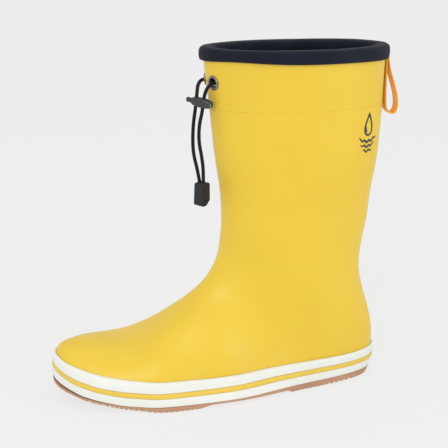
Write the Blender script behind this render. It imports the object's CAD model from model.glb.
"""Looks of a yellow rubber rain boot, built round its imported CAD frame.

Toe towards -X, heel towards +X, the outer side of the left leg towards -Y, ground at z = 0.
Lengths are written in millimetres and turned into metres by MM where a mesh is made. Lights, the
camera and what is passed to the frame's kit are in metres.
"""

import math

import bmesh
import bpy
import numpy as np
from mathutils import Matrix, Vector
from mathutils.bvhtree import BVHTree


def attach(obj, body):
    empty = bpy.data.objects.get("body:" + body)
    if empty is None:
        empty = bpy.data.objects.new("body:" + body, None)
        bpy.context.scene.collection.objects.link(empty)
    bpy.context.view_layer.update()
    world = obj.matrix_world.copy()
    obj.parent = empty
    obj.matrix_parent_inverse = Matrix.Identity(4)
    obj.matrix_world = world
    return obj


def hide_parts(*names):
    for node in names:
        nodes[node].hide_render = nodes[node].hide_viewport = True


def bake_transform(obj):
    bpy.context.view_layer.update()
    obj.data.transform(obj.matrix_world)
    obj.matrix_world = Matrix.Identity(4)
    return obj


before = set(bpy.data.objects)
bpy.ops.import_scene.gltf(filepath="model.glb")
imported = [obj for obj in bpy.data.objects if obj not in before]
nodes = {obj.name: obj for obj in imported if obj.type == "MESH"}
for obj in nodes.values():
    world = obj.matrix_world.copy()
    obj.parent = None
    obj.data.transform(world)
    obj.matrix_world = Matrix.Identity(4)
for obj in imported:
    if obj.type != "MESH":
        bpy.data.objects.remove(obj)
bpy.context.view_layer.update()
scene = bpy.context.scene
MM = 0.001

# ---- camera and light
camera_data = bpy.data.cameras.new("camera")
camera_data.sensor_width = 36.0
camera_data.lens = 87.26
camera = bpy.data.objects.new("camera", camera_data)
camera.location = (-0.2048, -0.8637, 0.4076)
aim = Vector((-0.0022, 0.0, 0.1436)) - camera.location
camera.rotation_euler = aim.to_track_quat("-Z", "Y").to_euler()
scene.collection.objects.link(camera)
scene.camera = camera
scene.view_settings.view_transform = "Standard"

# ---- the boot's sizes
WALL = 2.0
OUT = 3.3                   # how far the foxing stands out of the skin
STRIPE_TO = 11.7            # top of the yellow stripe above the foxing's lower edge
SEAM_Z = 244.5              # the stitched line under the drawcord's tunnel
ROUND = 12                  # measured points round each section
ANKLE_FOLD = (-70.0, 150.0)
TOE_FOLD = (-102.0, -42.0)
SHAFT_POWER = 2.04
# height, front x, back x, half width
SHAFT = [
    (300.0, -20.8, 136.5, 44.8),
    (290.0, -19.6, 136.1, 44.3),
    (250.0, -15.2, 134.8, 42.5),
    (205.0, -10.1, 132.8, 40.5),
    (172.0, -5.7, 127.8, 39.5),
]
# angle, distance to the instep, distance to the heel or sole, outer and inner half widths,
# squareness at the sole end, share of the way to the widest point, skew
ANKLE_FAN = [
    (90.0, 65.9, 195.4, 39.0, 39.0, 2.05, 0.50, 0.0),
    (75.0, 67.1, 195.8, 37.5, 37.5, 2.10, 0.50, 0.0),
    (60.0, 71.3, 235.1, 35.0, 35.0, 2.15, 0.50, 0.0),
    (48.0, 73.9, 250.5, 34.0, 33.0, 2.20, 0.53, 0.0),
    (38.0, 75.5, 214.7, 38.5, 32.5, 3.20, 0.64, 0.0),
    (28.0, 77.4, 209.4, 46.0, 35.0, 4.00, 0.56, 0.0),
    (14.0, 83.0, 188.1, 49.5, 41.5, 4.00, 0.56, 1.5),
]
# x, height of the top, outer and inner half widths, skew of the ridge
FOREFOOT = [
    (-70.0, 56.1, 49.4, 45.8, 3.0),
    (-86.0, 49.1, 45.2, 47.6, 5.0),
    (-102.0, 47.3, 41.0, 45.6, 6.0),
]
FOREFOOT_LOW, FOREFOOT_WIDEST = -32.0, 18.0
# angle, reach, widest point, outer and inner half widths, squareness, skew
TOE_FAN = [
    (17.0, 93.5, 59.3, 34.6, 40.7, 2.0, 6.0),
    (27.0, 95.4, 36.6, 34.0, 37.2, 2.0, 6.0),
    (36.0, 81.7, 28.7, 29.8, 32.8, 2.0, 6.5),
    (48.0, 63.2, 26.3, 29.3, 30.2, 2.0, 6.5),
]
TOE_LOW = 10.0
SOLE_SQUARENESS, TOP_ROUNDNESS, FOREFOOT_ROUNDNESS = 4.0, 2.1, 2.2
# the foxing's lower edge and its top edge from the side: x, height
SOLE_LINE = [(-175, 31.0), (-151, 17.6), (-120, 8.9), (-92, 5.3), (-60, 4.2), (0, 4.0),
             (55, 5.6), (136, 6.5), (175, 6.6)]
FOXING_EDGE = [(-175, 52.0), (-151, 38.6), (-120, 30.2), (-92, 26.5), (-60, 25.0), (0, 24.0),
               (55, 25.0), (136, 26.1), (175, 26.2)]


def angles(count, shift=0.0):
    """Even angles round a circle."""
    return 2 * np.pi * (np.arange(count) + shift) / count


def section_rows():
    """The skin's sections from the mouth to the toe: the top and the low end of each, its half
    widths, its two powers, the share of the way to its widest point and the skew of its ridge."""
    rows = []
    for z, front, back, half in SHAFT:
        rows.append((front, z, back, z, half, half, SHAFT_POWER, SHAFT_POWER, 0.5, 0.0))
    for angle, near, far, outer, inner, square, share, skew in ANKLE_FAN:
        dx, dz = math.sin(math.radians(angle)), -math.cos(math.radians(angle))
        x, z = ANKLE_FOLD
        rows.append((x + dx * near, z + dz * near, x + dx * far, z + dz * far,
                     outer, inner, square, TOP_ROUNDNESS, share, skew))
    for x, top, outer, inner, skew in FOREFOOT:
        share = (top - FOREFOOT_WIDEST) / (top - FOREFOOT_LOW)
        rows.append((x, top, x, FOREFOOT_LOW, outer, inner, SOLE_SQUARENESS, FOREFOOT_ROUNDNESS,
                     share, skew))
    for angle, reach, widest, outer, inner, round_top, skew in TOE_FAN:
        dx, dz = -math.sin(math.radians(angle)), math.cos(math.radians(angle))
        x, z = TOE_FOLD
        rows.append((x + dx * reach, z + dz * reach, x + dx * TOE_LOW, z + dz * TOE_LOW,
                     outer, inner, SOLE_SQUARENESS, round_top,
                     (reach - widest) / (reach - TOE_LOW), skew))
    return rows


def section_points(row, inset):
    """Points round one section: across the boot with the cosine, towards its top with the sine."""
    top_x, top_z, low_x, low_z, outer, inner, low_power, high_power, share, skew = row
    height = math.hypot(low_x - top_x, low_z - top_z)
    down = ((low_x - top_x) / height, (low_z - top_z) / height)
    widest = share * height
    turn = angles(ROUND)
    c, s = np.cos(turn), np.sin(turn)
    power = np.where(s >= 0, high_power, low_power)
    out = (np.abs(c) ** power + np.abs(s) ** power) ** (-1 / power)
    side = np.where(c >= 0, inner, outer) - inset
    reach = np.where(s >= 0, widest, height - widest) - inset
    depth = widest - reach * s * out
    y = side * c * out + skew * np.maximum(0, s * out)
    return np.stack([top_x + down[0] * depth, y, top_z + down[1] * depth], 1)


def skin_grid(inset, fine_round, steps):
    """The skin as a grid of points, rows from the mouth to the toe. steps(k) gives the places
    in span k at which rows are taken, from 0 up to but not including 1."""
    rows = section_rows()
    times = [0.0]
    for a, b in zip(rows, rows[1:]):
        times.append(times[-1] + math.sqrt(math.dist(a[:2], b[:2]) / 2
                                           + math.dist(a[2:4], b[2:4]) / 2))
    ring = np.array([section_points(row, inset) for row in rows])
    before, after, beyond = np.roll(ring, 1, 1), np.roll(ring, -1, 1), np.roll(ring, -2, 1)
    fine = []
    for j in range(fine_round):
        t = j / fine_round
        fine.append(0.5 * (2 * ring + (after - before) * t
                           + (2 * before - 5 * ring + 4 * after - beyond) * t ** 2
                           + (3 * ring - before - 3 * after + beyond) * t ** 3))
    ring = np.stack(fine, 2).reshape(len(rows), ROUND * fine_round, 3)
    slope = np.zeros_like(ring)
    last = len(rows) - 1
    for k in range(last + 1):
        if k in (0, last):
            i, j = (0, 1) if k == 0 else (last - 1, last)
            slope[k] = (ring[j] - ring[i]) / (times[j] - times[i])
        else:
            back, fore = times[k] - times[k - 1], times[k + 1] - times[k]
            slope[k] = ((ring[k] - ring[k - 1]) / back * fore
                        + (ring[k + 1] - ring[k]) / fore * back) / (back + fore)
    grid = []
    for k in range(last):
        span = times[k + 1] - times[k]
        for t in steps(k):
            grid.append(ring[k] * (2 * t ** 3 - 3 * t ** 2 + 1)
                        + slope[k] * span * (t ** 3 - 2 * t ** 2 + t)
                        + ring[k + 1] * (3 * t ** 2 - 2 * t ** 3)
                        + slope[k + 1] * span * (t ** 3 - t ** 2))
    grid.append(ring[last])
    return np.array(grid)


def smooth_edge(line):
    """Height at x along the natural cubic through an edge's points."""
    xs, zs = np.array(line, float).T
    gap = np.diff(xs)
    count = len(xs)
    matrix, wanted = np.eye(count), np.zeros(count)
    for i in range(1, count - 1):
        matrix[i, i - 1:i + 2] = gap[i - 1], 2 * (gap[i - 1] + gap[i]), gap[i]
        wanted[i] = 6 * ((zs[i + 1] - zs[i]) / gap[i] - (zs[i] - zs[i - 1]) / gap[i - 1])
    bend = np.linalg.solve(matrix, wanted)

    def height(x):
        x = np.clip(x, xs[0], xs[-1])
        i = np.clip(np.searchsorted(xs, x) - 1, 0, count - 2)
        a, b = (xs[i + 1] - x) / gap[i], (x - xs[i]) / gap[i]
        return (a * zs[i] + b * zs[i + 1]
                + ((a ** 3 - a) * bend[i] + (b ** 3 - b) * bend[i + 1]) * gap[i] ** 2 / 6)

    return height


sole_height, edge_height = smooth_edge(SOLE_LINE), smooth_edge(FOXING_EDGE)


def above_sole(points):
    """How far points lie above the foxing's lower edge."""
    return points[..., 2] - sole_height(points[..., 0])


def ellipse_at(z):
    """Centre x, half length and half width of the shaft's skin at a height."""
    for (z1, f1, b1, h1), (z0, f0, b0, h0) in zip(SHAFT, SHAFT[1:]):
        if z0 <= z <= z1:
            part = (z - z0) / (z1 - z0)
            front, back, half = (a + part * (b - a) for a, b in ((f0, f1), (b0, b1), (h0, h1)))
            return (front + back) / 2, (back - front) / 2, half
    raise ValueError(z)


# ---- mesh helpers
def mesh_piece(name, points, faces, material, smooth=True, uvs=None):
    """A mesh object from points in millimetres, its faces turned outwards. uvs is one (u, v)
    per face corner, in metres."""
    mesh = bpy.data.meshes.new(name)
    mesh.from_pydata([tuple(float(c) * MM for c in p) for p in points], [], faces)
    if uvs is not None:
        layer = mesh.uv_layers.new(name="UVMap")
        layer.data.foreach_set("uv", np.array(uvs, np.float32).ravel())
    mesh.update()
    mesh.validate()
    mesh.polygons.foreach_set("use_smooth", [smooth] * len(mesh.polygons))
    shape = bmesh.new()
    shape.from_mesh(mesh)
    bmesh.ops.recalc_face_normals(shape, faces=shape.faces)
    shape.to_mesh(mesh)
    shape.free()
    obj = bpy.data.objects.new(name, mesh)
    scene.collection.objects.link(obj)
    mesh.materials.append(material)
    return obj


def grid_faces(rows, columns, close_rows=False):
    """Quads of a grid of points stored row by row, where each row is a ring."""
    faces = []
    for i in range(rows if close_rows else rows - 1):
        for j in range(columns):
            a, b = i * columns, (i + 1) % rows * columns
            k = (j + 1) % columns
            faces.append((a + j, a + k, b + k, b + j))
    return faces


def grid_piece(name, grid, material, close_rows=False, uv=None):
    """A mesh object from an array of points (rows, columns, 3) whose rows are rings. uv is an
    array (rows + 1, columns + 1, 2) in metres, or nothing."""
    rows, columns = grid.shape[:2]
    faces = grid_faces(rows, columns, close_rows)
    corners = None
    if uv is not None:
        corners = [uv[i + di, j + dj] for i in range(rows if close_rows else rows - 1)
                   for j in range(columns) for di, dj in ((0, 0), (0, 1), (1, 1), (1, 0))]
    return mesh_piece(name, grid.reshape(-1, 3), faces, material, uvs=corners)


def closed_tube(name, rings, material):
    """A tube along an array of rings, closed at both ends by fans round a middle point."""
    rows, columns = rings.shape[:2]
    points = np.vstack([rings.reshape(-1, 3), rings[0].mean(0), rings[-1].mean(0)])
    faces = grid_faces(rows, columns)
    for start, middle in ((0, rows * columns), ((rows - 1) * columns, rows * columns + 1)):
        for j in range(columns):
            faces.append((start + j, start + (j + 1) % columns, middle))
    return mesh_piece(name, points, faces, material)


def stands_for(piece, node, body):
    """Shows a piece in place of a CAD node, with the node's slot, moving with a body."""
    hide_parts(node)
    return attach(piece, body)


# ---- materials
MIX_COLOUR_A, MIX_COLOUR_B, MIX_COLOUR_OUT = 6, 7, 2    # the mix node's colour sockets


class Nodes:
    """A material and short ways to wire its nodes."""

    def __init__(self, name):
        self.material = bpy.data.materials.new(name)
        self.material.use_nodes = True
        self.tree = self.material.node_tree
        self.shader = self.tree.nodes["Principled BSDF"]
        self.where = self.add("ShaderNodeTexCoord").outputs["Object"]

    def add(self, kind, **values):
        node = self.tree.nodes.new(kind)
        for key, value in values.items():
            setattr(node, key, value)
        return node

    def link(self, a, b):
        self.tree.links.new(a, b)

    def use_uv(self):
        self.where = self.add("ShaderNodeUVMap").outputs["UV"]

    def set(self, **values):
        for key, value in values.items():
            self.shader.inputs[key.replace("_", " ")].default_value = value

    def stretched(self, scale, turn=0.0):
        node = self.add("ShaderNodeMapping")
        node.inputs["Scale"].default_value = scale
        node.inputs["Rotation"].default_value = (0, 0, turn)
        self.link(self.where, node.inputs["Vector"])
        return node.outputs["Vector"]

    def noise(self, scale, detail=3.0, rough=0.5, stretch=None):
        node = self.add("ShaderNodeTexNoise")
        node.inputs["Scale"].default_value = scale
        node.inputs["Detail"].default_value = detail
        node.inputs["Roughness"].default_value = rough
        self.link(self.stretched(stretch) if stretch else self.where, node.inputs["Vector"])
        return node.outputs["Fac"]

    def wave(self, pitch_mm, direction="X", turn=0.0):
        """Sine bands, one to each pitch."""
        node = self.add("ShaderNodeTexWave", bands_direction=direction)
        node.inputs["Scale"].default_value = math.pi / 10 / (pitch_mm * MM)
        source = self.stretched((1, 1, 1), turn) if turn else self.where
        self.link(source, node.inputs["Vector"])
        return node.outputs["Fac"]

    def math(self, a, b, operation="MULTIPLY"):
        node = self.add("ShaderNodeMath", operation=operation)
        for value, socket in ((a, node.inputs[0]), (b, node.inputs[1])):
            if isinstance(value, (int, float)):
                socket.default_value = value
            else:
                self.link(value, socket)
        return node.outputs[0]

    def spread(self, value, low, high, out_low=0.0, out_high=1.0):
        node = self.add("ShaderNodeMapRange")
        for key, number in zip(("From Min", "From Max", "To Min", "To Max"),
                               (low, high, out_low, out_high)):
            node.inputs[key].default_value = number
        self.link(value, node.inputs["Value"])
        return node.outputs["Result"]

    def blend(self, share, first, second):
        node = self.add("ShaderNodeMix", data_type="RGBA")
        self.link(share, node.inputs["Factor"])
        for value, index in ((first, MIX_COLOUR_A), (second, MIX_COLOUR_B)):
            if isinstance(value, tuple):
                node.inputs[index].default_value = (*value, 1)
            else:
                self.link(value, node.inputs[index])
        return node.outputs[MIX_COLOUR_OUT]

    def colour(self, value):
        self.link(value, self.shader.inputs["Base Color"])

    def roughness(self, value, low, high):
        self.link(self.spread(value, 0.3, 0.7, low, high), self.shader.inputs["Roughness"])

    def bump(self, *layers):
        """Layers of (height, depth in millimetres), one on another."""
        normal = None
        for height, depth in layers:
            node = self.add("ShaderNodeBump")
            node.inputs["Distance"].default_value = depth * MM
            node.inputs["Strength"].default_value = 1.0
            self.link(height, node.inputs["Height"])
            if normal is not None:
                self.link(normal, node.inputs["Normal"])
            normal = node.outputs["Normal"]
        self.link(normal, self.shader.inputs["Normal"])


def rubber(name, main, shade, rough, grain_mm=0.9, grain_depth=0.02, specular=0.45):
    """Moulded rubber: faint large blotches, fine grain, a slightly uneven gloss."""
    n = Nodes(name)
    n.set(Specular_IOR_Level=specular)
    n.colour(n.blend(n.spread(n.noise(22, 4), 0.35, 0.68), main, shade))
    n.roughness(n.noise(160, 4), rough - 0.06, rough + 0.06)
    n.bump((n.noise(90, 3), 0.10), (n.noise(1 / (grain_mm * MM), 2), grain_depth))
    return n.material


def upper_rubber():
    """The leg's yellow rubber: two close tones, a few specks, a faint scuff low on the foot."""
    n = Nodes("yellow_rubber")
    n.set(Specular_IOR_Level=0.42, Coat_Weight=0.10, Coat_Roughness=0.42)
    wide = n.spread(n.noise(13, 3), 0.36, 0.66)
    tone = n.blend(wide, (0.770, 0.530, 0.034), (0.745, 0.500, 0.031))
    specks = n.spread(n.noise(900, 2), 0.68, 0.80)
    tone = n.blend(n.math(specks, 0.25), tone, (0.66, 0.42, 0.025))
    split = n.add("ShaderNodeSeparateXYZ")
    n.link(n.where, split.inputs[0])
    low = n.spread(split.outputs["Z"], 0.060, 0.018)
    scuff = n.math(low, n.spread(n.noise(70, 6, 0.65), 0.52, 0.78))
    tone = n.blend(n.math(scuff, 0.35), tone, (0.70, 0.56, 0.16))
    n.colour(tone)
    n.roughness(n.noise(55, 5), 0.36, 0.48)
    n.bump((n.noise(24, 3), 0.35), (n.noise(140, 3), 0.05), (n.noise(1100, 2), 0.012))
    return n.material


def textile(name, main, shade, pitch_mm, sheen, uv=False, depth=0.12):
    """Knit or woven cloth: two families of threads at the pitch, with a soft nap."""
    n = Nodes(name)
    if uv:
        n.use_uv()
    n.set(Sheen_Weight=sheen, Sheen_Roughness=0.5, Specular_IOR_Level=0.25)
    over = n.wave(pitch_mm, "X")
    under = n.wave(pitch_mm, "Y" if uv else "Z")
    thread = n.math(over, under)
    nap = n.noise(1 / (0.25 * MM), 2)
    mixed = n.math(n.math(thread, 0.7), n.math(nap, 0.3), "ADD")
    tone = n.blend(n.spread(mixed, 0.1, 0.75), shade, main)
    worn = n.spread(n.noise(40, 3), 0.45, 0.75)
    pale = tuple(min(1.0, c * 1.35 + 0.004) for c in main)
    n.colour(n.blend(n.math(worn, 0.5), tone, pale))
    n.roughness(nap, 0.79, 0.91)
    n.bump((thread, depth), (nap, depth * 0.3))
    return n.material


def webbing_cloth():
    """Ribbed tape: ribs across it, a chevron of yarns on each rib."""
    n = Nodes("orange_webbing")
    n.use_uv()
    n.set(Sheen_Weight=0.25, Sheen_Roughness=0.4, Specular_IOR_Level=0.3)
    ribs = n.wave(0.9)
    yarns = n.wave(0.45, turn=0.7)
    cross = n.wave(0.45, turn=-0.7)
    lay = n.math(yarns, cross)
    both = n.math(n.math(ribs, 0.6), n.math(lay, 0.4), "ADD")
    tone = n.blend(n.spread(both, 0.1, 0.8), (0.88, 0.40, 0.030), (1.0, 0.54, 0.070))
    n.colour(tone)
    n.roughness(n.noise(700, 3), 0.6, 0.78)
    n.bump((ribs, 0.10), (lay, 0.08))
    return n.material


def cord_cloth():
    """Matt black yarns, crossing at a slant."""
    n = Nodes("braided_cord")
    n.use_uv()
    n.set(Sheen_Weight=0.05, Sheen_Roughness=0.5, Specular_IOR_Level=0.18)
    yarn = n.wave(0.55, turn=0.75)
    cross = n.wave(0.55, turn=-0.75)
    lay = n.math(yarn, cross)
    n.colour(n.blend(n.spread(lay, 0.05, 0.8), (0.0045, 0.0047, 0.0052), (0.018, 0.018, 0.0185)))
    n.roughness(n.noise(900, 2), 0.62, 0.8)
    n.bump((lay, 0.09))
    return n.material


def plastic(name, main, worn, rough, specular=0.5):
    """Moulded plastic with a fine grain, paler where its edges are rubbed."""
    n = Nodes(name)
    n.set(Specular_IOR_Level=specular)
    edge = n.add("ShaderNodeNewGeometry").outputs["Pointiness"]
    rub = n.math(n.spread(edge, 0.51, 0.60), n.spread(n.noise(500, 4), 0.4, 0.7))
    tone = n.blend(n.spread(n.noise(120, 3), 0.35, 0.7), main, tuple(c * 0.8 for c in main))
    n.colour(n.blend(n.math(rub, 0.6), tone, worn))
    n.roughness(n.noise(420, 3), rough - 0.08, rough + 0.08)
    n.bump((n.noise(1 / (0.5 * MM), 3), 0.02))
    return n.material


def steel(name, colour, rough):
    """Metal with fine upright scratches."""
    n = Nodes(name)
    n.set(Metallic=1.0)
    brushed = n.noise(1.0, 3, 0.6, stretch=(2400, 2400, 260))
    n.colour(n.blend(n.spread(n.noise(260, 3), 0.35, 0.7), colour, tuple(c * 0.72 for c in colour)))
    n.roughness(brushed, rough - 0.08, rough + 0.1)
    n.bump((brushed, 0.006))
    return n.material


yellow = upper_rubber()
white_foxing = rubber("white_foxing", (0.785, 0.800, 0.745), (0.735, 0.748, 0.690), 0.46,
                      specular=0.4)
yellow_foxing = rubber("yellow_foxing", (0.775, 0.545, 0.070), (0.730, 0.500, 0.060), 0.46)
gum = rubber("gum_rubber_sole", (0.50, 0.275, 0.155), (0.41, 0.215, 0.115), 0.5,
             grain_mm=0.7, grain_depth=0.035)
neoprene = textile("navy_knit", (0.0055, 0.0088, 0.0225), (0.0024, 0.0038, 0.0105), 0.62, 0.05,
                   uv=True, depth=0.10)
lining_cloth = textile("navy_lining", (0.011, 0.0135, 0.0235), (0.005, 0.006, 0.011), 0.9, 0.12)
tape_cloth = textile("navy_tape", (0.018, 0.021, 0.031), (0.008, 0.009, 0.014), 0.5, 0.2)
board_fibre = textile("pressed_fibre", (0.42, 0.33, 0.22), (0.30, 0.22, 0.14), 1.4, 0.1)
footbed_cloth = textile("grey_footbed_cloth", (0.075, 0.080, 0.092), (0.035, 0.038, 0.046), 0.8,
                        0.3)
foam = rubber("pale_foam", (0.62, 0.58, 0.50), (0.52, 0.48, 0.40), 0.7, grain_mm=1.2,
              grain_depth=0.15)
stiffener = textile("stiffener_fibre", (0.50, 0.46, 0.38), (0.38, 0.34, 0.27), 0.7, 0.1)
webbing = webbing_cloth()
cord_braid = cord_cloth()
lock_plastic = plastic("dark_grey_plastic", (0.034, 0.036, 0.037), (0.20, 0.205, 0.205), 0.40)
plunger_plastic = plastic("black_plastic", (0.018, 0.0185, 0.020), (0.12, 0.12, 0.12), 0.38)
end_plastic = plastic("ink_plastic", (0.010, 0.011, 0.014), (0.10, 0.105, 0.12), 0.38,
                      specular=0.28)
gunmetal = steel("gunmetal", (0.30, 0.275, 0.25), 0.24)
bright_steel = steel("spring_steel", (0.56, 0.56, 0.55), 0.28)
ink = rubber("dark_print", (0.018, 0.021, 0.024), (0.040, 0.042, 0.036), 0.5, grain_mm=0.4)
thread = textile("yellow_thread", (0.79, 0.55, 0.040), (0.68, 0.45, 0.03), 0.35, 0.2, depth=0.05)

CAD_MATERIALS = [
    (gum, "gum_outsole"), (foam, "midsole_filler"), (board_fibre, "insole_board"),
    (footbed_cloth, "footbed"), (stiffener, "toe_stiffener heel_counter"),
    (lining_cloth, "inner_lining"), (tape_cloth, "drawcord_tunnel_tape"),
    (cord_braid, "drawcord_in_tunnel drawcord_lateral drawcord_medial"),
    (gunmetal, "eyelet_lateral eyelet_medial eyelet_washer_lateral eyelet_washer_medial"),
    (lock_plastic, "cord_lock_body"), (plunger_plastic, "cord_lock_plunger"),
    (bright_steel, "cord_lock_spring steel_shank"), (yellow, "rubber_upper"),
    (end_plastic, "cord_end_body cord_end_cover"), (webbing, "pull_loop pull_loop_tails"),
    (white_foxing, "foxing_lower_band foxing_upper_band"), (yellow_foxing, "foxing_stripe"),
    (neoprene, "collar_binding"),
]
for node_material, node_names in CAD_MATERIALS:
    for node_name in node_names.split():
        node_mesh = nodes[node_name].data
        node_mesh.materials.clear()
        node_mesh.materials.append(node_material)

# ---- the hanging cord
CORD_RADIUS, CORD_SIDES = 1.5, 24
BRAID_DIP, BRAID_RISE, BRAID_LAY = 0.09, 0.13, 3.4   # of the yarns, and one turn's length
CORD_STEP = 0.00034         # metres between the rings of the cord's mesh
LATERAL_ROUTE = [
    (-12.6, -11.6, 266.7), (-17.6, -14.1, 266.3), (-21.0, -9.4, 256.9), (-22.2, -8.2, 243.1),
    (-24.9, -7.8, 232.0), (-25.2, -7.0, 218.0), (-22.6, -6.6, 204.7), (-21.2, -6.7, 192.0),
    (-21.6, -6.9, 179.5),
]
MEDIAL_ROUTE = [
    (-12.6, 11.6, 266.7), (-17.6, 14.1, 266.3), (-22.6, 7.5, 262.8), (-25.7, -4.7, 259.7),
    (-27.1, -3.3, 243.9), (-28.8, -3.0, 232.5), (-29.5, -3.1, 219.0), (-29.0, -3.6, 206.5),
    (-25.8, -4.1, 193.5), (-23.5, -4.1, 179.5),
]


def smooth_line(route):
    """Points in metres along the NURBS spline whose control points are the route, in mm."""
    curve = bpy.data.curves.new("route", "CURVE")
    curve.dimensions = "3D"
    curve.resolution_u = 24
    spline = curve.splines.new("NURBS")
    spline.points.add(len(route) - 1)
    for point, place in zip(spline.points, route):
        point.co = (*(c * MM for c in place), 1.0)
    spline.order_u = 3
    spline.use_endpoint_u = True
    obj = bpy.data.objects.new("route", curve)
    scene.collection.objects.link(obj)
    bpy.context.view_layer.update()
    mesh = bpy.data.meshes.new_from_object(obj)
    line = np.array([v.co for v in mesh.vertices], float)
    bpy.data.objects.remove(obj)
    bpy.data.curves.remove(curve)
    bpy.data.meshes.remove(mesh)
    return line


def length_run(line):
    """Distance along a line at each of its points."""
    return np.concatenate([[0], np.cumsum(np.linalg.norm(np.diff(line, axis=0), axis=1))])


def closed_run(ring):
    """Distance round a ring at each of its points, and back at the first."""
    return length_run(np.vstack([ring, ring[:1]]))


def even_line(line, step):
    """The line again, at even distances of about step, and its length."""
    run = length_run(line)
    count = max(2, int(round(run[-1] / step)) + 1)
    places = np.linspace(0, run[-1], count)
    return np.stack([np.interp(places, run, line[:, i]) for i in range(3)], 1), run[-1]


def turned_frames(line):
    """Side and up directions at each point of a line, which don't twist about it."""
    tangent = np.gradient(line, axis=0)
    tangent /= np.linalg.norm(tangent, axis=1)[:, None]
    side = np.cross(tangent[0], (0.3, 1.0, 0.2))
    sides = []
    for t in tangent:
        side = side - t * (side @ t)
        side = side / np.linalg.norm(side)
        sides.append(side)
    sides = np.array(sides)
    return sides, np.cross(tangent, sides)


def braided_cord(name, route):
    """A round braid: a tube with the lay of two crossing sets of yarns standing on it."""
    line, length = even_line(smooth_line(route), CORD_STEP)
    side, up = turned_frames(line)
    count = CORD_SIDES
    turn = angles(count)
    along = np.linspace(0, length, len(line)) / MM
    lay = 2 * np.pi * along[:, None] / BRAID_LAY
    relief = np.abs(np.sin(2.0 * (turn[None] + lay))) * np.abs(np.sin(2.0 * (turn[None] - lay)))
    radius = (CORD_RADIUS - BRAID_DIP + BRAID_RISE * relief)[..., None] * MM
    rings = line[:, None] + radius * (np.cos(turn)[None, :, None] * side[:, None]
                                      + np.sin(turn)[None, :, None] * up[:, None])
    uv = np.zeros((len(line) + 1, count + 1, 2))
    uv[:len(line), :, 0] = along[:, None] * MM
    uv[:, :, 1] = np.arange(count + 1)[None] / count * 2 * math.pi * CORD_RADIUS * MM
    tube = grid_piece(name, rings / MM, cord_braid, uv=uv)
    return tube, line


for strand_name, strand_route, strand_node in (
        ("cord_strand_outer", LATERAL_ROUTE, "drawcord_lateral"),
        ("cord_strand_inner", MEDIAL_ROUTE, "drawcord_medial")):
    tube, line = braided_cord(strand_name, strand_route)
    stands_for(tube, strand_node, "cord_strands")

# ---- eyelet places
EYELET_Z, EYELET_TURN = 266.7, math.radians(16.6)
# radius and height over the skin, round the section of the ring
EYELET_PROFILE = [
    (3.7, -5.5), (3.7, -3.0), (3.7, -0.6), (3.74, 0.0), (3.85, 0.5), (4.1, 0.92), (4.5, 1.2),
    (4.95, 1.3), (5.4, 1.2), (5.82, 0.92), (6.08, 0.5), (6.16, 0.15), (6.0, 0.02), (5.0, 0.02),
    (4.02, 0.02), (4.0, -2.5), (4.0, -5.5),
]


def eyelet_frame(side):
    """Middle of an eyelet on the skin, its outward direction, and two directions across it."""
    def at(z, angle):
        centre, length, width = ellipse_at(z)
        return np.array([centre - length * math.cos(angle), side * width * math.sin(angle), z])

    up = at(EYELET_Z + 1, EYELET_TURN) - at(EYELET_Z - 1, EYELET_TURN)
    sideways = at(EYELET_Z, EYELET_TURN + 0.01) - at(EYELET_Z, EYELET_TURN - 0.01)
    normal = np.cross(sideways, up)
    normal /= np.linalg.norm(normal)
    if normal[0] > 0:
        normal = -normal
    up /= np.linalg.norm(up)
    return at(EYELET_Z, EYELET_TURN), normal, up, np.cross(normal, up)


# ---- rubber upper
# places of the mesh rows inside two spans of the shaft: close together at the eyelets and the seam
EYELET_STEPS = [0.0, 0.1, 0.2, 0.3, 0.36, *np.linspace(0.40, 0.76, 13), 0.80, 0.86, 0.93]
SEAM_STEPS = [0.0, 0.03, 0.055, 0.075, 0.088, 0.097, 0.104, 0.110, 0.116, 0.122, 0.128, 0.134,
              0.140, 0.147, 0.156, 0.168, 0.19, 0.22, 0.27, *np.linspace(0.34, 0.82, 7), 0.91]
UPPER_LOW = 0.6             # the rubber starts this far above the foxing's lower edge
BORE_RADIUS, BORE_REACH = 4.8, 6.0
ROUND_FINE = 16             # mesh columns to each measured point round a section
SHAFT_FROM = 225            # the seam's groove belongs to the shaft above this height
# soft dents: middle, how far they spread along x, y and z, depth
DENTS = [
    ((1, -14, 168), (16, 22, 18), 0.9),
    ((-13, -10, 232), (9, 14, 16), 0.5),
    ((24, -38, 185), (30, 26, 26), 0.7),
    ((96, -36, 150), (26, 24, 34), 0.6),
]


def upper_steps(span):
    """Places of the mesh rows in a span. The first span is above the mouth."""
    if span < 3:
        return ([], EYELET_STEPS, SEAM_STEPS)[span]
    count = 10 if span < 5 else 7
    return [i / count for i in range(count)]


skin_here = skin_grid(0.0, ROUND_FINE, upper_steps)
inward = skin_grid(1.0, ROUND_FINE, upper_steps) - skin_here
seam = SEAM_Z - skin_here[..., 2]
dent = 0.10 * np.exp(-(seam / 0.75) ** 2) - 0.05 * np.exp(-((seam - 1.9) / 1.1) ** 2)
dent = np.where(skin_here[..., 2] > SHAFT_FROM, dent, 0.0)
for dent_middle, dent_spread, dent_depth in DENTS:
    far = np.linalg.norm((skin_here - dent_middle) / np.array(dent_spread), axis=-1)
    dent = dent + dent_depth * np.exp(-far ** 2)
dent = dent + 0.12 * np.sin(skin_here[..., 2] / 9.0 + skin_here[..., 0] / 14.0)
skin_here = skin_here + inward * dent[..., None]

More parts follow.
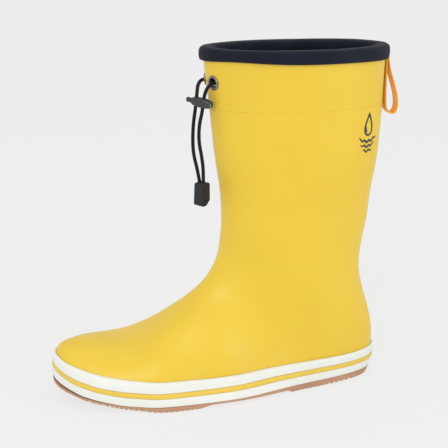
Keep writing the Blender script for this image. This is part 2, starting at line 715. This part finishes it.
skin_height = above_sole(skin_here).ravel()
rows, columns = skin_here.shape[:2]
skin_faces = [f for f in grid_faces(rows, columns)
              if max(skin_height[list(f)]) > UPPER_LOW]
skin_points = skin_here.reshape(-1, 3).copy()
for side in (-1, 1):
    bored, bore_axis, _, _ = eyelet_frame(side)
    kept = []
    for f in skin_faces:
        away = skin_points[list(f)].mean(0) - bored
        off = away - (away @ bore_axis) * bore_axis
        if math.hypot(*off) > BORE_RADIUS or abs(away @ bore_axis) > BORE_REACH:
            kept.append(f)
    skin_faces = kept
skin_points[:, 2] += np.maximum(0.0, UPPER_LOW - skin_height)
used = sorted({i for f in skin_faces for i in f})
new_index = {old: new for new, old in enumerate(used)}
upper = mesh_piece("rubber_upper_skin", skin_points[used],
                   [tuple(new_index[i] for i in f) for f in skin_faces], yellow)
surface = BVHTree.FromPolygons([tuple(v.co) for v in upper.data.vertices],
                               [tuple(p.vertices) for p in upper.data.polygons])
probe = surface.ray_cast(Vector((0.06, -0.2, 0.2)), Vector((0, 1, 0)))
if probe[1].y > 0:
    upper.data.flip_normals()
wall = upper.modifiers.new("wall", "SOLIDIFY")
wall.thickness = WALL * MM
wall.offset = -1
stands_for(upper, "rubber_upper", "boot")

# ---- seam stitches
STITCH_PITCH = 0.0031       # metres
STITCH_HALF, STITCH_R, STITCH_SIDES = 1.0, 0.17, 8
# each ring of a stitch: place along it, share of its radius, height over the skin
STITCH_SHAPE = [(-1.0, 0.25, -0.11), (-0.8, 0.8, 0.05), (-0.3, 1.0, 0.15), (0.3, 1.0, 0.15),
                (0.8, 0.8, 0.05), (1.0, 0.25, -0.11)]
STITCH_RINGS = len(STITCH_SHAPE)
UPWARDS = np.array([0, 0, 1.0])


def tunnel_stitches():
    """A row of short stitches round the shaft, along the seam."""
    row = int(np.argmin(np.abs(skin_here[:, 0, 2] - SEAM_Z)))
    line, _ = even_line(np.vstack([skin_here[row], skin_here[row][:1]]) * MM, STITCH_PITCH)
    line = line[:-1]
    points, faces = [], []
    for i, here in enumerate(line):
        tangent = line[(i + 1) % len(line)] - line[i - 1]
        tangent = tangent / np.linalg.norm(tangent)
        face_out = np.cross(tangent, UPWARDS)
        if face_out @ (here - np.array([0.06, 0, here[2]])) < 0:
            face_out = -face_out
        for along, size, lift in STITCH_SHAPE:
            middle = here / MM + tangent * along * STITCH_HALF + face_out * lift
            for j in range(STITCH_SIDES):
                turn = 2 * math.pi * j / STITCH_SIDES
                spoke = math.cos(turn) * face_out + math.sin(turn) * UPWARDS
                points.append(middle + STITCH_R * size * spoke)
        base = i * STITCH_RINGS * STITCH_SIDES
        end = base + (STITCH_RINGS - 1) * STITCH_SIDES
        faces += [tuple(base + v for v in f) for f in grid_faces(STITCH_RINGS, STITCH_SIDES)]
        faces.append(tuple(base + j for j in range(STITCH_SIDES)))
        faces.append(tuple(end + j for j in reversed(range(STITCH_SIDES))))
    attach(mesh_piece("tunnel_stitches", points, faces, thread), "boot")


tunnel_stitches()

# ---- foxing
OUTLINE_POINTS = 480
OUTLINE_WAVES = 90          # finer ripples than these are smoothed out of an outline
LONG_TO_WIDE = 3            # the foot is about this much longer than wide


def foxing_level(x, share, extra):
    """Height at x: extra above the lower edge, or above the place a share of the way up the
    top band."""
    if share is None:
        return sole_height(x) + extra
    start = sole_height(x) + STRIPE_TO
    return start + share * (edge_height(x) - start) + extra


def outline(share, extra, outset):
    """The skin's outline at a level of the foxing, as points at even bearings."""
    grid = skin_grid(-outset, 8, lambda span: [] if span < 4 else [i / 12 for i in range(12)])
    gap = grid[..., 2] - foxing_level(grid[..., 0], share, extra)
    found = []
    for a, b, fa, fb in ((grid, np.roll(grid, -1, 1), gap, np.roll(gap, -1, 1)),
                         (grid[:-1], grid[1:], gap[:-1], gap[1:])):
        cross = fa * fb < 0
        part = (fa[cross] / (fa[cross] - fb[cross]))[:, None]
        found.append(a[cross] + part * (b[cross] - a[cross]))
    found = np.concatenate(found)
    bearing = np.arctan2(found[:, 1], found[:, 0] / LONG_TO_WIDE)
    reach = np.hypot(found[:, 1], found[:, 0] / LONG_TO_WIDE)
    order = np.argsort(bearing)
    bearing, reach = bearing[order], reach[order]
    even = angles(OUTLINE_POINTS) - np.pi
    reach = np.interp(even, bearing, reach, period=2 * np.pi)
    waves = np.fft.rfft(reach)
    waves[OUTLINE_WAVES:] = 0
    reach = np.fft.irfft(waves, OUTLINE_POINTS)
    x, y = LONG_TO_WIDE * reach * np.cos(even), reach * np.sin(even)
    return np.stack([x, y, foxing_level(x, share, extra)], 1)


def band(name, profile, material, node):
    """A closed ring round the sole. profile is a loop of (level, how far out of the skin), or of
    (share of the top band, extra height, how far out)."""
    grid = np.array([outline(*(row if len(row) == 3 else (None, *row))) for row in profile])
    piece = grid_piece(name, grid, material, close_rows=True)
    return stands_for(piece, node, "boot")


band("foxing_band_low", [
    (0.15, 0.2), (0.02, 1.6), (0.0, 2.5), (0.12, 2.95), (0.45, 3.2), (1.0, OUT), (3.6, OUT + 0.03),
    (6.2, OUT), (6.8, 3.2), (7.15, 2.9), (7.3, 2.4), (7.3, 0.2)],
    white_foxing, "foxing_lower_band")
band("foxing_band_stripe", [
    (7.42, 0.2), (7.42, 2.6), (7.55, 3.15), (7.95, 3.48), (8.6, 3.55), (9.5, 3.58), (10.5, 3.55),
    (11.1, 3.48), (11.5, 3.15), (11.63, 2.6), (11.63, 0.2)],
    yellow_foxing, "foxing_stripe")
band("foxing_band_high", [
    (0, 0.05, 0.2), (0, 0.05, 2.4), (0, 0.2, 2.9), (0, 0.6, 3.2), (0, 1.2, OUT),
    (0.5, 0, OUT + 0.02), (1, -2.0, 3.25), (1, -1.0, 3.0), (1, -0.4, 2.5), (1, -0.08, 1.8),
    (1, 0, 1.0), (1, -0.1, 0.2)],
    white_foxing, "foxing_upper_band")

# ---- collar roll
# how far out of the skin, and height, round the section of the roll
COLLAR_PROFILE = [
    (0.15, 283.9), (0.75, 283.45), (1.9, 283.32), (3.0, 283.8), (3.8, 284.9), (4.15, 286.5),
    (4.2, 288.6), (4.15, 290.6), (3.8, 292.4), (3.0, 293.9), (1.7, 294.9), (0.0, 295.3),
    (-1.8, 295.3), (-3.6, 295.25), (-5.4, 295.0), (-6.9, 294.2), (-8.0, 292.8), (-8.6, 290.9),
    (-8.75, 288.7), (-8.6, 286.4), (-8.0, 284.7), (-6.9, 283.6), (-5.6, 283.35), (-4.6, 283.7),
    (-4.3, 284.6), (-4.3, 287.5), (-4.3, 290.1), (-3.2, 290.4), (-0.9, 290.4), (0.1, 290.1),
    (0.15, 287.5),
]
COLLAR_COLUMNS, COLLAR_MIDDLE = 288, 289.3
RIM_FROM, RIM_RUN = 289.0, 6.3      # the rim's rise and fall starts here and is full this far up
HEM_FROM, HEM_RUN = 288.0, 4.7      # the same for the lower edge, downwards
OUTERMOST = 6                       # the profile's place that the cloth's width is measured at
centre_x, half_length, half_width = ellipse_at(COLLAR_MIDDLE)
turn = angles(COLLAR_COLUMNS)
near = np.maximum(0.0, np.sin(turn))        # the outer side of the leg
far = np.maximum(0.0, -np.sin(turn))        # the inner side
front = np.maximum(0.0, np.cos(turn)) ** 4
back = np.maximum(0.0, -np.cos(turn)) ** 3
tucked = np.exp(-((turn - 0.75) / 0.5) ** 2)    # where the lower edge turns in over the eyelet
soft = 0.16 * np.sin(7 * turn + 0.6) + 0.10 * np.sin(13 * turn + 2.1)
loops = []
for out, z in COLLAR_PROFILE:
    shown = 1.0 if (out > 1 or out < -5 or z > 291) else 0.0
    reach = out + shown * (soft if z > 284.5 else 0.0)
    if out > 0.5:
        reach = reach - 0.2 - 0.7 * front - 0.8 * back
    high, low = max(0.0, (z - RIM_FROM) / RIM_RUN), max(0.0, (HEM_FROM - z) / HEM_RUN)
    rise = high * (0.12 * np.sin(5 * turn + 1.0) - 0.12 - 0.5 * near - 1.8 * far - 0.9 * back)
    rise = rise + low * (2.0 * tucked - 2.2 * back) * (1 if out > 0 else 0.3)
    loops.append(np.stack([centre_x - (half_length + reach) * np.cos(turn),
                           -(half_width + reach) * np.sin(turn), z + rise], 1))
loops = np.array(loops)
collar_uv = np.stack(np.meshgrid(closed_run(loops[OUTERMOST]) * MM,
                                 closed_run(loops[:, 0]) * MM), 2)
collar = grid_piece("collar_roll", loops, neoprene, close_rows=True, uv=collar_uv)
stands_for(collar, "collar_binding", "boot")


# ---- eyelets
def eyelet(name, side, node):
    """A rolled ring with a short barrel into the hole."""
    middle, normal, up, across = eyelet_frame(side)
    turn = angles(72)
    rings = [middle + normal * z + r * (np.cos(turn)[:, None] * up + np.sin(turn)[:, None] * across)
             for r, z in EYELET_PROFILE]
    piece = grid_piece(name, np.array(rings), gunmetal, close_rows=True)
    return stands_for(piece, node, "boot")


eyelet("eyelet_ring_outer", -1, "eyelet_lateral")
eyelet("eyelet_ring_inner", 1, "eyelet_medial")

# ---- pull loop
# x and height of the webbing's middle line, from under the collar and back there
LOOP_ROUTE = [(137.5, 283.9), (137.35, 244.0), (139.4, 236.1), (145.3, 232.5), (149.1, 237.6),
              (148.3, 249.0), (143.9, 262.5), (139.0, 277.0), (139.05, 283.9)]
LOOP_HALF, LOOP_THICK, LOOP_SQUARENESS = 5.5, 1.4, 5.0
LOOP_COLUMNS, LOOP_STEP = 40, 0.0003        # the step is in metres
RIB_HEIGHT, RIB_PITCH = 0.05, 0.95


def webbing_loop():
    """The pull loop: flat webbing with ribs across it and slightly thicker edges."""
    route = [(x, 0.0, z) for x, z in LOOP_ROUTE]
    line, length = even_line(smooth_line(route), LOOP_STEP)
    line = line / MM
    tangent = np.gradient(line, axis=0)
    tangent /= np.linalg.norm(tangent, axis=1)[:, None]
    normal = np.stack([tangent[:, 2], 0 * tangent[:, 0], -tangent[:, 0]], 1)
    count = LOOP_COLUMNS
    turn = angles(count, 0.5)
    power = 2 / LOOP_SQUARENESS
    across = np.sign(np.cos(turn)) * np.abs(np.cos(turn)) ** power
    thick = np.sign(np.sin(turn)) * np.abs(np.sin(turn)) ** power
    along = np.linspace(0, length, len(line)) / MM
    rib = RIB_HEIGHT * np.sin(2 * np.pi * along / RIB_PITCH)[:, None]
    edge = 0.05 * (np.abs(across) > 0.86)
    offset = thick * (LOOP_THICK / 2 - 0.06 + rib + edge)
    rings = (line[:, None] + offset[..., None] * normal[:, None]
             + (across * (LOOP_HALF - RIB_HEIGHT))[None, :, None] * np.array([0, 1.0, 0]))
    uv = np.zeros((len(line) + 1, count + 1, 2))
    uv[:len(line), :, 0] = along[:, None] * MM
    uv[:, :count, 1] = (across * LOOP_HALF * MM)[None]
    uv[:, count, 1] = uv[:, 0, 1]
    piece = grid_piece("pull_loop_webbing", rings, webbing, uv=uv)
    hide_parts("pull_loop")
    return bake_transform(piece)


webbing_loop()

# ---- cord lock
LOCK_AT = np.array([-22.4, -8.0, 250.1])
LOCK_AXIS = np.array([-0.70, 0.70, 0.12]) / math.hypot(0.70, 0.70, 0.12)
LOCK_UP = UPWARDS - LOCK_AXIS * LOCK_AXIS[2]
LOCK_UP /= np.linalg.norm(LOCK_UP)
LOCK_SIDE = np.cross(LOCK_UP, LOCK_AXIS)
LOCK_SQUARENESS, LOCK_COLUMNS = 2.8, 84
LOCK_HALF_WIDE, LOCK_HALF_HIGH = 3.7, 4.1
# place along the barrel, share of its full size there
LOCK_SIZES = [(-10.0, 0.30), (-9.6, 0.50), (-9.0, 0.62), (-8.0, 0.73), (-6.0, 0.87), (-3.0, 0.98),
              (0.0, 1.0), (3.0, 0.99), (6.0, 0.92), (8.0, 0.83), (8.8, 0.78), (9.2, 0.66)]
# place along the button from the barrel's middle, radius
BUTTON_PROFILE = [(6.8, 1.9), (6.9, 2.1), (11.9, 2.1), (12.1, 1.98), (12.4, 1.93), (12.7, 1.98),
                  (12.9, 2.1), (14.0, 2.1), (14.4, 2.0), (14.65, 1.75), (14.78, 1.3), (14.8, 0.6)]
BUTTON_COLUMNS = 48


def soft_step(value, low, high):
    """From 0 at low to 1 at high, easing in and out."""
    t = np.clip((value - low) / (high - low), 0, 1)
    return t * t * (3 - 2 * t)


def lock_body():
    """A squarish barrel, fullest past its middle, with a raised panel in a recess on two sides."""
    x = np.concatenate([np.linspace(-10, -8, 9)[:-1], np.arange(-8, 8.4, 0.22),
                        np.linspace(8.4, 9.2, 6)])
    size = np.interp(x, *zip(*LOCK_SIZES))
    for _ in range(3):
        size[1:-1] = (size[:-2] + 2 * size[1:-1] + size[2:]) / 4
    turn = angles(LOCK_COLUMNS, 0.5)
    c, s = np.cos(turn), np.sin(turn)
    out = (np.abs(c) ** LOCK_SQUARENESS + np.abs(s) ** LOCK_SQUARENESS) ** (-1 / LOCK_SQUARENESS)
    side = size[:, None] * LOCK_HALF_WIDE * (c * out)[None]
    up = size[:, None] * LOCK_HALF_HIGH * (s * out)[None]
    along = x[:, None] + 0 * side
    # a recess with a panel standing in it and a dimple at each end, on both flat sides
    face = soft_step(np.abs(side), 2.2, 3.0)
    here = np.maximum(np.abs(along + 0.6) / 3.7, np.abs(up) / 2.1)
    inner = np.maximum(np.abs(along + 0.6) / 2.6, np.abs(up) / 1.25)
    dip = 0.5 * (1 - soft_step(here, 0.9, 1.08)) - 0.55 * (1 - soft_step(inner, 0.85, 1.1))
    for middle in (-6.4, 5.6):
        far = np.hypot(along - middle, up)
        dip = dip + 0.35 * (1 - soft_step(far, 0.7, 1.25))
    side = side - np.sign(side) * dip * face
    # grip grooves over and under the two ends
    grooves = 0.16 * (0.5 + 0.5 * np.cos(2 * np.pi * (along - 0.3) / 1.5))
    grip = soft_step(np.abs(up), 2.4, 3.2) * (np.abs(along) > 7.0)
    up = up - np.sign(up) * grooves * grip
    rings = (LOCK_AT + along[..., None] * LOCK_AXIS + side[..., None] * LOCK_SIDE
             + up[..., None] * LOCK_UP)
    piece = closed_tube("lock_barrel", rings, lock_plastic)
    return stands_for(piece, "cord_lock_body", "cord_lock")


def lock_button():
    """The plunger's round button, with a groove near its tip."""
    turn = angles(BUTTON_COLUMNS)
    rings = [LOCK_AT + x * LOCK_AXIS + r * (np.cos(turn)[:, None] * LOCK_SIDE
                                            + np.sin(turn)[:, None] * LOCK_UP)
             for x, r in BUTTON_PROFILE]
    piece = closed_tube("lock_button", np.array(rings), plunger_plastic)
    return stands_for(piece, "cord_lock_plunger", "lock_plunger")


lock_pieces = [lock_body(), lock_button()]

# ---- cord end
END_AT, END_TURN = np.array([-22.5, -5.5, 173.0]), math.radians(-58.2)
END_HALF, END_LOW = 5.5, -10.0
END_TAPERS = (0.055, 0.012)     # each side leans in by this much per millimetre of height
END_EDGE = 0.75                 # radius of the moulded edges
# outlines of the two halves from the side: depth, height over the middle
END_SHELL = [(-1.95, -9.9), (0.4, -9.6), (4.5, -5.2), (4.6, 8.6), (3.4, 10.0), (-1.95, 10.0)]
END_FLAP = [(-2.1, -10.0), (-3.9, -9.8), (-4.6, -8.6), (-4.6, 8.3), (-3.6, 9.6), (-2.1, 9.6)]


def end_piece(name, profile, node, body):
    """A moulded half of the cord end: its side outline carried across, narrower at the top."""
    across = np.array([math.cos(END_TURN), math.sin(END_TURN), 0.0])
    deep = np.array([-math.sin(END_TURN), math.cos(END_TURN), 0.0])
    points = []
    for end, taper in zip((-1, 1), END_TAPERS):
        for v, h in profile:
            place = end * (END_HALF - taper * (h - END_LOW))
            points.append(END_AT + place * across + v * deep + h * UPWARDS)
    n = len(profile)
    faces = [tuple(range(n)), tuple(range(2 * n - 1, n - 1, -1))]
    faces += [(i, (i + 1) % n, n + (i + 1) % n, n + i) for i in range(n)]
    piece = mesh_piece(name, points, faces, end_plastic)
    edge = piece.modifiers.new("edge", "BEVEL")
    edge.width = END_EDGE * MM
    edge.segments = 4
    edge.limit_method = "ANGLE"
    edge.angle_limit = math.radians(18)
    piece.modifiers.new("shade", "WEIGHTED_NORMAL")
    return stands_for(piece, node, body)


end_pieces = [end_piece("cord_end_shell", END_SHELL, "cord_end_body", "cord_strands"),
              end_piece("cord_end_flap", END_FLAP, "cord_end_cover", "end_cover")]

# ---- printed mark
MARK_AT = np.array([114.4, -28.6, 223.8])
MARK_NORMAL = np.array([0.55, -0.84, 0.0]) / math.hypot(0.55, 0.84)
MARK_SIDE = np.array([0.84, 0.55, 0.0]) / math.hypot(0.55, 0.84)
MARK_UNDER, MARK_OVER = 0.02, 0.16      # the print's two faces, above the skin
DROP_LINE = 1.7
# each ripple: height, half length, thickness
RIPPLES = [(-8.0, 11.0, 1.7), (-12.2, 8.6, 1.5), (-16.2, 5.8, 1.3)]


def on_skin(u, v, lift):
    """Point of the upper at u across and v up from the mark's middle, raised by lift."""
    start = MARK_AT + MARK_SIDE * u + v * UPWARDS + MARK_NORMAL * 25
    hit, normal, _, _ = surface.ray_cast(Vector(start * MM), Vector(-MARK_NORMAL))
    out = np.array(normal) if normal.dot(Vector(MARK_NORMAL)) > 0 else -np.array(normal)
    return np.array(hit) / MM + out * lift


def stroke(path, widths, closed=False):
    """Two rows of points either side of a flat path."""
    path = np.array(path, float)
    if closed:
        ahead = np.roll(path, -1, 0) - np.roll(path, 1, 0)
    else:
        ahead = np.gradient(path, axis=0)
    ahead /= np.linalg.norm(ahead, axis=1)[:, None]
    side = np.stack([-ahead[:, 1], ahead[:, 0]], 1) * np.array(widths)[:, None] / 2
    return path + side, path - side


def printed_mark():
    """A generic badge: a raindrop over three ripples."""
    strokes = []
    turns = np.linspace(0, 2 * np.pi, 96, endpoint=False)
    drop = [(6.3 * math.sin(t) * math.sin(t / 2) ** 1.5, 6.5 + 9.2 * math.cos(t)) for t in turns]
    strokes.append((drop, [DROP_LINE] * len(turns), True))
    shine = [(-2.9 * math.cos(t), 3.2 - 4.2 * math.sin(t)) for t in np.linspace(-0.35, 1.15, 30)]
    strokes.append((shine, [0.3 + 1.1 * math.sin(math.pi * i / 29) for i in range(30)], False))
    for level, half, weight in RIPPLES:
        us = np.linspace(-half, half, 60)
        path = [(u, level + 0.028 * u * u + 0.75 * math.sin(u * 1.1)) for u in us]
        widths = [0.3 + weight * math.cos(0.49 * math.pi * u / half) ** 0.5 for u in us]
        strokes.append((path, widths, False))
    points, faces = [], []
    for path, widths, closed in strokes:
        left, right = stroke(path, widths, closed)
        base, count = len(points), len(left)
        for lift in (MARK_UNDER, MARK_OVER):
            for a in (left, right):
                points += [on_skin(u, v, lift) for u, v in a]
        ring = [0, 1, 3, 2]
        for i in range(count if closed else count - 1):
            j = (i + 1) % count
            for a, b in zip(ring, ring[1:] + ring[:1]):
                faces.append((base + a * count + i, base + b * count + i,
                              base + b * count + j, base + a * count + j))
        if not closed:
            for i in (0, count - 1):
                faces.append(tuple(base + k * count + i for k in ring))
    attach(mesh_piece("printed_mark", points, faces, ink, smooth=False), "boot")


printed_mark()

# ---- floor and lights
PALE, GLOW = (0.855, 0.855, 0.855), 0.86
FLOOR_REACH, SWEEP, WALL_TOP, FLOOR_DROP = 2100, 900, 3600, 0.05


def backdrop():
    """A pale floor that sweeps up all round into a wall."""
    profile = [(0.001, 0.0), (600, 0.0), (1500, 0.0), (FLOOR_REACH, 0.0)]
    for i in range(1, 13):
        a = math.radians(90 * i / 12)
        profile.append((FLOOR_REACH + SWEEP * math.sin(a), SWEEP - SWEEP * math.cos(a)))
    profile.append((FLOOR_REACH + SWEEP, WALL_TOP))
    turn = angles(64)
    grid = np.array([np.stack([r * np.cos(turn), r * np.sin(turn), z - FLOOR_DROP + 0 * turn], 1)
                     for r, z in profile])
    n = Nodes("pale_floor")
    n.set(Specular_IOR_Level=0.0, Roughness=0.9, Emission_Color=(*PALE, 1),
          Emission_Strength=GLOW)
    n.colour(n.blend(n.spread(n.noise(3, 3), 0.3, 0.7), (0.13, 0.13, 0.13), (0.127, 0.127, 0.127)))
    grid_piece("floor", grid, n.material)


def area_light(name, place, target, size, power):
    """A white rectangular light. Place, target and size are in metres."""
    data = bpy.data.lights.new(name, "AREA")
    data.shape = "RECTANGLE"
    data.size, data.size_y = size
    data.energy = power
    obj = bpy.data.objects.new(name, data)
    obj.location = place
    aim = Vector(target) - Vector(place)
    obj.rotation_euler = aim.to_track_quat("-Z", "Y").to_euler()
    scene.collection.objects.link(obj)


backdrop()
world = bpy.data.worlds.new("studio")
world.use_nodes = True
sky = world.node_tree.nodes["Background"]
sky.inputs["Color"].default_value = (*PALE, 1)
sky.inputs["Strength"].default_value = GLOW
scene.world = world
area_light("key", (-0.9, -1.3, 1.0), (0, 0, 0.17), (0.9, 1.2), 10.0)
area_light("fill", (1.2, -1.1, 0.6), (0, 0, 0.17), (0.8, 1.2), 5.5)
area_light("top", (0.0, 0.1, 1.6), (0, 0, 0.1), (1.4, 1.0), 2)
